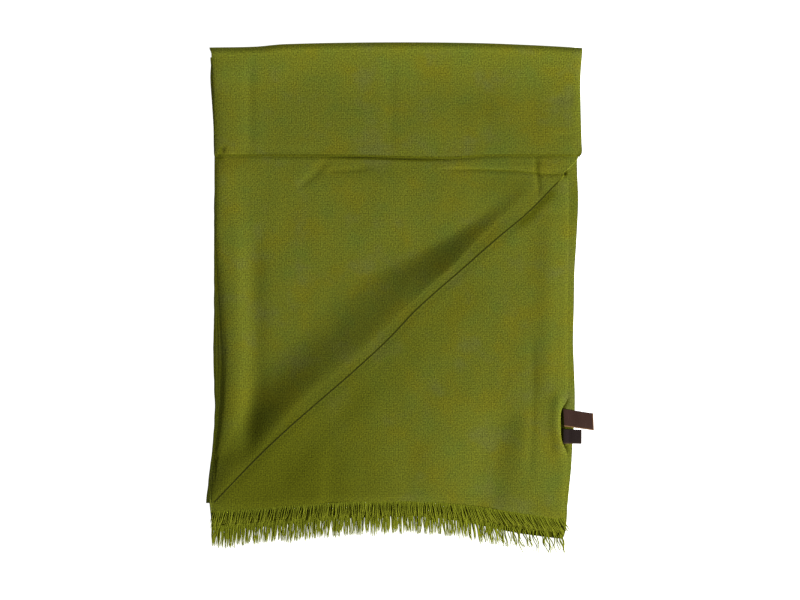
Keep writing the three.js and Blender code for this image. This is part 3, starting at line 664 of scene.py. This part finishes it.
def makeHiddenLayers():
    folds, steps = layers["folds"], layers["foldSteps"]
    sideCount = folds * steps + 1
    topCount = layers["columns"]
    ring = 2 * (sideCount + topCount)

    def edgeX(column, sign, k, y):
        layer = min(k // steps, folds - 1)
        inLayer = (k - layer * steps) / steps
        share = layer / (folds - 1)
        wander = 0.8 * abs(ripple(layer * 3.1, y, 40, 5.0 + layer)) + 0.3 * ripple(layer, y, 11, 2.0)
        wander -= layers["loose"] * smooth((-110 - y) / 50)
        round_ = math.sqrt(max(1 - (2 * inLayer - 1) ** 2, 0))
        if column == "outer":
            tuck = share * (along(sides, "flap", y) - along(sides, "outer", y)) * 0.3
        else:
            tuck = share * 1.2 + layers["rightSetback"]
            round_ = max(round_, 0.0) ** 0.5 * (0.8 + 0.2 * math.cos(inLayer * math.tau))
        return along(sides, column, y) + sign * (tuck + wander + layers["inset"] + layers["pinch"] * (1 - round_))

    def place(u, v):
        # u runs round the section from the lower left, v from the fringe to the top fold
        k = round(u * ring) % ring
        endY = lambda x: frontHem(x) + layers["endSetback"]
        farY = lambda x: along(topFoldLine, "y", x, "x") - cloth["topFoldRadius"] - 1
        middleX = -5.0
        y = mix(endY(middleX), farY(middleX), v)
        left = edgeX("outer", 1, min(k, sideCount - 1), y)
        high = lambda x, y: hiddenTop(x, y) - cloth["layerGap"]
        if k < sideCount:
            x, rise = left, k / (sideCount - 1)
        elif k < sideCount + topCount:
            t = (k - sideCount + 1) / (topCount + 1)
            x, rise = mix(-170, 158, t), 1.0
        elif k < 2 * sideCount + topCount:
            j = 2 * sideCount + topCount - 1 - k
            x, rise = edgeX("under", -1, j, y), j / (sideCount - 1)
        else:
            t = (k - 2 * sideCount - topCount + 1) / (topCount + 1)
            x, rise = mix(158, -170, t), 0.0
        y = mix(endY(x), farY(x), v)
        z = mix(0.0, high(x, y), rise)
        return (x, y, z), (x + rise * 9, y)

    bm = bmesh.new()
    uvLayer = bm.loops.layers.uv.new("clothPlace")
    toneLayer = bm.verts.layers.float.new("paintedLightAndShade")
    bmesh.ops.create_grid(bm, x_segments=ring, y_segments=layers["rows"], size=1.0)
    flat = {}
    for vert in bm.verts:
        point, flatPlace = place((vert.co.x + 1) / 2, (vert.co.y + 1) / 2)
        vert.co = toPart(*point)
        vert[toneLayer] = paintedLightAndShade(point[0], point[1])
        flat[vert] = (flatPlace[0] * mm, flatPlace[1] * mm)
    for face in bm.faces:
        for loop in face.loops:
            loop[uvLayer].uv = flat[loop.vert]
    bmesh.ops.remove_doubles(bm, verts=bm.verts, dist=0.00001)
    openEdges = [edge for edge in bm.edges if edge.is_boundary]
    bmesh.ops.holes_fill(bm, edges=openEdges, sides=0)
    bmesh.ops.recalc_face_normals(bm, faces=bm.faces)
    piece = newPiece("foldedLayers", bm, paintedLightLayersMaterial, "folded_layers")
    return piece


# The two leaves that lie on the hidden layers, each one cloth thick

# the last value paints light onto each leaf's shaded left edge
leaf = {"columns": 130, "rows": 170, "underShare": 0.3, "frontShare": 0.65, "outset": 0.6, "paintedEdgeLight": 0.9}


def crowd(t, amount=0.6):
    # crowds a row of points towards both ends
    return mix(t, (1 - math.cos(math.pi * t)) / 2, amount)


def makeLeaf(name, replaces, share, rightColumn, hem, rise, creases, waves, edgeDrop, shadeLines=()):
    leftX = lambda y: mix(along(sides, "outer", y), along(sides, "flap", y), share)
    rightX = lambda y: along(sides, rightColumn, y) + leaf["outset"]

    def place(u, v):
        across = crowd(u)
        x, y = 0.0, 0.0
        for _ in range(4):
            y = mix(hem(x), cloth["leafTop"], v**1.1)
            x = mix(leftX(y), rightX(y), across)
        edge = min(x - leftX(y), rightX(y) - x)
        z = bedHeight(x, y) + rise - creasesAt(creases, x, y)
        z += waves * ripple(x, y, 34, 3.0) + waves * 0.5 * ripple(x, y, 15, 8.0)
        z -= edgeDrop * math.exp(-edge / 3.0)
        return (x, y, z), (x, y)

    # painted light: each leaf's own left edge, which lies in shade, is painted paler
    def tone(x, y):
        wearAndPaintedLight = math.exp(-max(x - leftX(y), 0) / 0.9) * smooth((110 - y) / 60)
        return paintedLightAndShade(x, y, shadeLines) * (1 + leaf["paintedEdgeLight"] * wearAndPaintedLight)

    return makeSheet(name, leaf["columns"], leaf["rows"], place, clothMaterial, replaces, tone=tone)


def underHem(x):
    return frontHem(x) - along(hemOverlap, "drop", x, "x")


# The turned corner: a doubled leaf whose cloth goes round its left fold and rolls under at the slant

corner = {"rows": 200, "left": 8, "leftNose": 8, "top": 118, "slantNose": 12, "slantReturn": 10,
          "leftReturn": 7.0, "returnWidth": 16.0, "edgeShare": 1.04, "overhang": 8.0, 
          "across": 0.7, "edgeShade": 0.16, "edgeWidth": 1.8, "rimDrop": 1.3, "rimReach": 5.0}


cornerRows = [
    {"share": 0, "y": -195},
    {"share": 0.7, "y": 102},
    {"share": 0.9, "y": 138},
    {"share": 1, "y": 228},
]


def rollRise(behind, y):
    rise = along(slantRoll, "rise", y)
    crest = along(slantRoll, "crest", y)
    up = mix(corner["edgeShare"], 1, smooth(behind / crest))
    fall = max(behind - crest, 0) / along(slantRoll, "reach", y)
    return rise * up * (1 - smooth(fall ** along(slantRoll, "skew", y)))


def makeTurnedCorner():
    counts = [corner[key] for key in ("left", "leftNose", "top", "slantNose", "slantReturn")]
    total = sum(counts)

    def topZ(x, y):
        behind = (along(slantFold, "x", y) - x) * corner["across"]
        z = bedHeight(x, y) + cloth["flapRise"] - creasesAt(flapCreases, x, y) * smooth(behind / 10)
        fromLeft = max(x - along(sides, "flap", y), 0)
        z -= corner["rimDrop"] * smooth((70 - y) / 60) * smooth((y + 195) / 40) * math.exp(-fromLeft / corner["rimReach"])
        z += rollRise(behind, y) + 0.3 * ripple(x, y, 38, 11.0) * smooth(behind / 12) + 0.12 * ripple(x, y, 14, 4.0)
        return z

    def place(u, v):
        y = along(cornerRows, "y", v, "share")
        foldLeft = along(sides, "flap", y)
        foldRight = along(slantFold, "x", y)
        nose = cloth["flapNose"]
        slim = min((foldRight - foldLeft) / 40, 1.0)
        noseRight = mix(0.35, 0.6, smooth(along(slantRoll, "rise", y) / 5) * slim)
        x0, x1 = foldLeft + nose, foldRight - noseRight / corner["across"]
        edgeShade = mix(1, corner["edgeShade"], smooth((118 - y) / 10))
        k = u * total
        section = 0
        while section < 4 and k > counts[section] + 1e-6:
            k -= counts[section]
            section += 1
        t = k / counts[section]
        floorZ = lambda x: bedHeight(x, y) + cloth["flapRise"] - 2 * nose
        if section == 0:
            x = x0 + (1 - t) * corner["leftReturn"] * slim
            return (x, y, floorZ(x)), (foldLeft - (x - foldLeft), y)
        if section == 1:
            angle = math.pi * t
            x = x0 - nose * math.sin(angle)
            z = mix(floorZ(x0), topZ(x0, y), (1 - math.cos(angle)) / 2)
            return (x, y, z), (foldLeft - 1.2 + 2.4 * t, y)
        if section == 2:
            x = mix(x0, x1, 1 - (1 - t) ** 1.6)
            shade = mix(1, edgeShade, smooth(1 - (x1 - x) / corner["edgeWidth"]))
            return (x, y, topZ(x, y), shade), (x, y)
        endTop = topZ(x1, y)
        if section == 3:
            angle = math.pi * t
            x = x1 + noseRight / corner["across"] * math.sin(angle)
            z = endTop - noseRight * (1 - math.cos(angle))
            return (x, y, z, edgeShade), (x1 + math.pi * noseRight * t, y)
        back = t * corner["returnWidth"] * slim
        x = x1 - back / corner["across"]
        low = bedHeight(x, y) + cloth["flapRise"] - 2 * cloth["flapNose"] + 0.1
        z = max(mix(endTop - 2 * noseRight, low, smooth(back / corner["overhang"])), low)
        return (x, y, z, mix(edgeShade, 1, t)), (x1 + math.pi * noseRight + back * 1.5, y)

    return makeSheet("turnedCorner", total, corner["rows"], place, clothMaterial, "turned_corner",
                     tone=lambda x, y: paintedLightAndShade(x, y, flapShade))


# The lap: its under layer, its soft lower fold, its top, round the top fold and in under the packet

lap = {"columns": 120, "under": 40, "nose": 10, "top": 60, "wrap": 22, "tuck": 6,
       "underEnd": 226.0, "tuckDepth": 12.0, "creaseEnd": 22.0}


def makeTopLap():
    counts = [lap[key] for key in ("under", "nose", "top", "wrap", "tuck")]
    total = sum(counts)
    nose = cloth["lapNose"]

    def place(u, v):
        across = crowd(u, 0.75)
        xAt = lambda y: mix(along(lapSides, "left", y), along(lapSides, "right", y), across)
        topY = along(topFoldLine, "y", xAt(240), "x")
        radius = cloth["topFoldRadius"] - 0.4
        centreY = topY - cloth["topFoldRadius"]
        foldY = along(lapFoldLine, "y", xAt(135), "x") + 0.4 * ripple(xAt(135), 0, 30, 6.0)
        endDrop = 0.5 * math.exp(-min(across, 1 - across) * 350 / 2.5)

        def flatZ(x, y):
            level = hiddenTop(x, y) + 0.3 + cloth["lapRise"]
            ramp = smooth((y - 190) / (centreY - 190))
            return mix(level, 2 * cloth["topFoldRadius"] - 0.4, ramp) - endDrop

        k = v * total
        section = 0
        while section < 4 and k > counts[section] + 1e-6:
            k -= counts[section]
            section += 1
        t = k / counts[section]
        noseY = foldY + nose
        if section == 0:
            y = mix(lap["underEnd"], noseY, t)
            x = xAt(y)
            return (x, y, flatZ(x, y) - 2 * nose), (x, foldY - (y - foldY))
        if section == 1:
            angle = math.pi * t
            y = noseY - nose * math.sin(angle)
            x = xAt(noseY)
            return (x, y, flatZ(x, noseY) - nose - nose * math.cos(angle)), (x, foldY - 1.2 + 2.4 * t)
        if section == 2:
            y = mix(noseY, centreY, t)
            x = xAt(y)
            z = flatZ(x, y) - creasesAt(lapCreases, x, y) * smooth((centreY - y) / lap["creaseEnd"])
            z += 0.3 * ripple(x, y, 40, 21.0) * smooth((y - noseY) / 12) * smooth((centreY - y) / lap["creaseEnd"])
            return (x, y, z), (x, y)
        if section == 3:
            angle = math.pi * t
            y = centreY + radius * math.sin(angle)
            z = cloth["topFoldRadius"] + radius * math.cos(angle) - endDrop * math.cos(angle)
            return (xAt(y), y, z), (xAt(y), centreY + radius * angle)
        y = centreY - t * lap["tuckDepth"]
        return (xAt(y), y, 0.4), (xAt(y), centreY + radius * math.pi + t * lap["tuckDepth"])

    return makeSheet("topLap", lap["columns"], total, place, clothMaterial, "top_lap",
                     tone=lambda x, y: paintedLightAndShade(x, y, lapShade))


# Fringes: twisted yarns in small uneven clumps, thinner and paler at their tips

fringe = {"sides": 5, "steps": 8}
fringeLean = [
    {"x": -186, "lean": -3.4},
    {"x": -120, "lean": -3.0},
    {"x": -60, "lean": -1.0},
    {"x": -20, "lean": 0.6},
    {"x": 30, "lean": 1.8},
    {"x": 60, "lean": 5.0},
    {"x": 100, "lean": 9.5},
    {"x": 150, "lean": 9.0},
    {"x": 174, "lean": 5.0},
]
frontYarns = {"seed": 3, "length": 16.6, "root": 1.6, "width": 0.95, "pitch": 0.7, "lockWidth": (1.6, 4.6),
              "lockLength": (0.84, 1.06), "together": (0.1, 0.65), "meet": 1.3, "lean": 1.0, "stray": 0.9,
              "spread": 0.7, "bend": 0.8, "lift": 0.9, "loosen": 0.0, "skip": 0.0, "longer": 0.0}
underYarns = {"seed": 8, "length": 18.4, "root": 5.0, "width": 1.15, "pitch": 0.4, "lockWidth": (2.0, 6.0),
              "lockLength": (0.86, 1.06), "together": (0.1, 0.6), "meet": 2.6, "lean": 0.45, "stray": 1.0,
              "spread": 1.0, "bend": 0.5, "lift": 0.7, "loosen": 1.0, "skip": 0.7, "longer": -0.02}


def addYarn(bm, uvLayer, toneLayer, points, widths, number):
    # one yarn: a grid closed to a tube round its line of points
    sides_, steps = fringe["sides"], len(points) - 1
    made = bmesh.ops.create_grid(bm, x_segments=sides_, y_segments=steps, size=1.0)
    verts = made["verts"]
    flat = {}
    for vert in verts:
        u, v = (vert.co.x + 1) / 2, (vert.co.y + 1) / 2
        j = min(round(v * steps), steps)
        angle = math.tau * u
        ahead = points[min(j + 1, steps)] - points[max(j - 1, 0)]
        sideways = Vector((-ahead.y, ahead.x, 0)).normalized()
        upwards = ahead.cross(sideways).normalized()
        offset = (sideways * math.cos(angle) + upwards * math.sin(angle)) * widths[j] / 2
        flat[vert] = (u + number * 1.37, v)
        # the cloth's painted light and shade where the yarn leaves the hem, at half strength
        vert[toneLayer] = (1 + paintedLightAndShade(points[0].x, points[0].y)) / 2
        vert.co = toPart(*(points[j] + offset))
    for face in {face for vert in verts for face in vert.link_faces}:
        for loop in face.loops:
            loop[uvLayer].uv = flat[loop.vert]
    bmesh.ops.remove_doubles(bm, verts=verts, dist=0.0000005)


def makeFringe(name, replaces, leftX, rightX, hem, rootZ, tipZ, style):
    # yarns stand in locks of a few, which lean, meet towards their tips and have their own lengths
    rng = random.Random(style["seed"])
    bm = bmesh.new()
    uvLayer = bm.loops.layers.uv.new("clothPlace")
    toneLayer = bm.verts.layers.float.new("paintedLightAndShade")
    number = 0
    lockLeft = leftX
    while lockLeft < rightX - 1.0:
        lockWidth = min(rng.uniform(*style["lockWidth"]), rightX - lockLeft)
        centre = lockLeft + lockWidth / 2
        loose = style["loosen"] * smooth((centre - 66) / 50)
        lean = along(fringeLean, "lean", centre, "x") * style["lean"] + rng.uniform(-1, 1) * style["stray"]
        lockLength = style["length"] * rng.uniform(*style["lockLength"])
        together = rng.uniform(*style["together"]) * (1 - 0.6 * loose)
        yarns = max(2, round(lockWidth / style["pitch"]))
        for n in range(yarns):
            inLock = (n + 0.5) / yarns - 0.5
            rootX = centre + lockWidth * inLock + rng.uniform(-0.2, 0.2)
            length = lockLength * (1 - 0.35 * abs(inLock) * together) * rng.uniform(0.8 - 0.15 * loose, 1.06)
            length *= 1 + style["longer"] * loose
            meetX = (centre - rootX) * together
            ownX = rng.uniform(-1, 1) * style["spread"] * (1 + loose)
            bend = rng.uniform(-1, 1) * style["bend"] * (1 + 1.6 * loose)
            lift = rng.uniform(0.0, style["lift"])
            slim = rng.uniform(0.75, 1.1) * (1 + 0.15 * loose)
            curl = 0.2 + 0.7 * loose
            if rng.random() < style["skip"] * loose:
                continue
            points, widths = [], []
            for j in range(fringe["steps"] + 1):
                t = j / fringe["steps"]
                x = rootX + lean * t**1.2 + meetX * t ** style["meet"] + ownX * t
                x += bend * math.sin(math.pi * t) + curl * math.sin(8 * t + number)
                y = hem(rootX) + style["root"] - (length + style["root"]) * t
                z = mix(rootZ(rootX, y), tipZ, smooth(t * 1.3)) + lift * math.sin(math.pi * min(t * 1.1, 1))
                points.append(Vector((x, y, z)))
                widths.append(style["width"] * slim * (1.0 - 0.75 * t**2.2 * (1 - 0.3 * loose)))
            addYarn(bm, uvLayer, toneLayer, points, widths, number)
            number += 1
        lockLeft += lockWidth
    bmesh.ops.recalc_face_normals(bm, faces=bm.faces)
    print(name, number, "yarns")
    return newPiece(name, bm, yarnMaterial, replaces)


# Labels: woven ribbons sewn into the selvedge, bare of words and signs

labels = {
    "wovenLabel": {"node": "woven_label", "slot": "label_brown", "x": 155.9, "y": -114.0, "length": 29.2,
                   "height": 16.8, "turn": -0.15, "skew": 0.05, "sag": 2.8, "curl": 0.6, "lift": 1.1,
                   "ground": (0.040, 0.019, 0.014), "wearAndPaintedLight": (0.26, 0.14, 0.055), "fray": 1.5},
    "careLabel": {"node": "care_label", "slot": "label_dark", "x": 155.7, "y": -132.0, "length": 17.6,
                  "height": 13.8, "turn": -0.03, "skew": 0.0, "sag": 1.6, "curl": 0.4, "lift": 0.9,
                  "ground": (0.016, 0.010, 0.009), "wearAndPaintedLight": (0.08, 0.05, 0.03), "fray": 0.9},
}


def makeLabel(name, materialName):
    size = labels[name]
    material = makeLabelMaterial(materialName, size)

    def place(u, v):
        reach, offset = u * size["length"], (v - 0.5) * size["height"]
        x = size["x"] + reach * math.cos(size["turn"]) - offset * size["skew"]
        y = size["y"] + reach * math.sin(size["turn"]) + offset * math.cos(size["turn"])
        z = bedHeight(min(x, 161), y) + cloth["underRise"] + 0.75 + size["lift"] * (1 - smooth(u / 0.4))
        z -= size["sag"] * smooth((u - 0.3) / 0.9)
        z += size["curl"] * (math.sin(math.pi * v) - 0.5) * smooth((u - 0.2) / 0.8)
        return (x, y, z), (reach, offset)

    return makeSheet(name, 40, 24, place, material, size["node"], 0.35)


hiddenLayers = makeHiddenLayers()
print("hidden layers made")
underLeaf = makeLeaf("underLeaf", "under_leaf", leaf["underShare"], "under", underHem, cloth["underRise"],
                     underCreases, 0.05, 0.2, underShade + hemShade)
frontLeaf = makeLeaf("frontLeaf", "front_leaf", leaf["frontShare"], "front", frontHem, cloth["frontRise"], frontCreases, 0.24, 0.5, frontShade)
print("leaves made")
turnedCorner = makeTurnedCorner()
print("turned corner made")
topLap = makeTopLap()
print("lap made")
frontFringe = makeFringe("frontFringe", "front_fringe", -180.2, 156.4, frontHem,
                         lambda x, y: bedHeight(x, y) + cloth["frontRise"], 2.6, frontYarns)
underFringe = makeFringe("underFringe", "under_fringe", -181.0, 155.5, underHem,
                         lambda x, y: bedHeight(x, y) + cloth["underRise"] + 0.3, 0.75, underYarns)
print("fringes made")
wovenLabel = makeLabel("wovenLabel", "brownRibbon")
careLabel = makeLabel("careLabel", "darkRibbon")
print("labels made")


# Camera straight above, at the photograph's scale, a pale floor and soft light from the right

studio = {"millimetresPerPixel": 0.955, "distance": 1.7, "aim": (-0.43, -1.76), "sensor": 36.0, "imageWidth": 800,
          "worldStrength": 0.22, "key": 510.0, "keySize": 1.5, "keyPlace": (3.8, -1.4, 1.47), "floorGlow": 0.97}


def makeCamera():
    data = bpy.data.cameras.new("camera")
    camera = bpy.data.objects.new("camera", data)
    bpy.context.scene.collection.objects.link(camera)
    width = studio["millimetresPerPixel"] * studio["imageWidth"] * mm
    data.sensor_width = studio["sensor"]
    data.lens = studio["sensor"] * studio["distance"] / width
    data.clip_end = 20
    camera.location = toPart(*studio["aim"], studio["distance"] / mm + 8)
    bpy.context.scene.camera = camera


def makeLight(name, place, size, power, aim=(0, 0, 0)):
    data = bpy.data.lights.new(name, "AREA")
    data.size = size
    data.energy = power
    light = bpy.data.objects.new(name, data)
    bpy.context.scene.collection.objects.link(light)
    light.location = place
    light.rotation_euler = (Vector(aim) - Vector(place)).to_track_quat("-Z", "Y").to_euler()


def makeFloor():
    bm = bmesh.new()
    bmesh.ops.create_grid(bm, x_segments=1, y_segments=1, size=4.0)
    mesh = bpy.data.meshes.new("floor")
    bm.to_mesh(mesh)
    bm.free()
    floor = bpy.data.objects.new("floor", mesh)
    bpy.context.scene.collection.objects.link(floor)
    material, tree, shader = newMaterial("paleFloor", 0.9)
    shader.inputs["Base Color"].default_value = (0.94, 0.94, 0.94, 1)
    seen = tree.nodes.new("ShaderNodeLightPath").outputs["Is Camera Ray"]
    shader.inputs["Emission Color"].default_value = (1, 1, 1, 1)
    link(tree, mathNode(tree, "MULTIPLY", seen, studio["floorGlow"]), shader.inputs["Emission Strength"])
    mesh.materials.append(material)


makeCamera()
makeFloor()
makeLight("key", studio["keyPlace"], studio["keySize"], studio["key"])
world = bpy.data.worlds.new("studio")
bpy.context.scene.world = world
world.use_nodes = True
world.node_tree.nodes["Background"].inputs[0].default_value = (1, 1, 1, 1)
world.node_tree.nodes["Background"].inputs[1].default_value = studio["worldStrength"]
bpy.context.scene.view_settings.view_transform = "Standard"
print("studio made")
